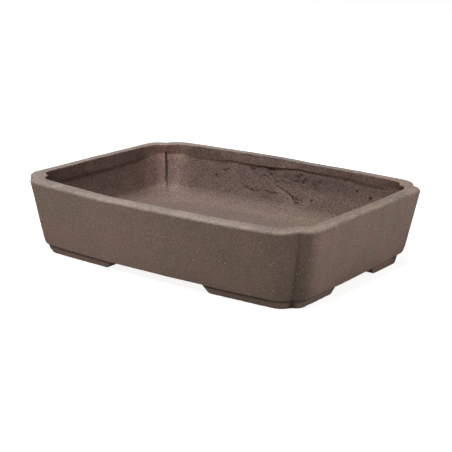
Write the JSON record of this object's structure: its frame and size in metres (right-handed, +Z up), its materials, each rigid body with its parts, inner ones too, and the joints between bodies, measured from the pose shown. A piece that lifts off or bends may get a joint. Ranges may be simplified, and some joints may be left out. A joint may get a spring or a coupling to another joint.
{
  "type": "bonsai pot",
  "caption": "Shallow rectangular unglazed pot with notched round corners, a flat rim, drain holes and corner feet, for growing a small trained tree.",
  "frame": {"origin": "middle of the footprint, on the surface that the feet stand on", "axes": "+X along the long sides, +Y from the front long side to the back one, +Z up"},
  "size_m": [0.3, 0.228, 0.067],
  "materials": {
    "wall_clay": "unglazed matte stoneware, brown",
    "rim_clay": "unglazed matte stoneware, wiped lighter",
    "floor_clay": "unglazed matte stoneware, tan brown",
    "coil_clay": "unglazed matte stoneware, finger-smoothed",
    "foot_clay": "unglazed matte stoneware, dark brown"
  },
  "bodies": {
    "root": {"floor_slab": "floor_clay", "wall_front": "wall_clay", "wall_back": "wall_clay", "wall_left": "wall_clay", "wall_right": "wall_clay", "lip_front": "rim_clay", "lip_back": "rim_clay", "lip_left": "rim_clay", "lip_right": "rim_clay", "cove_front": "coil_clay", "cove_back": "coil_clay", "cove_left": "coil_clay", "cove_right": "coil_clay", "foot_front_left": "foot_clay", "foot_front_right": "foot_clay", "foot_back_left": "foot_clay", "foot_back_right": "foot_clay"}
  },
  "joints": []
}
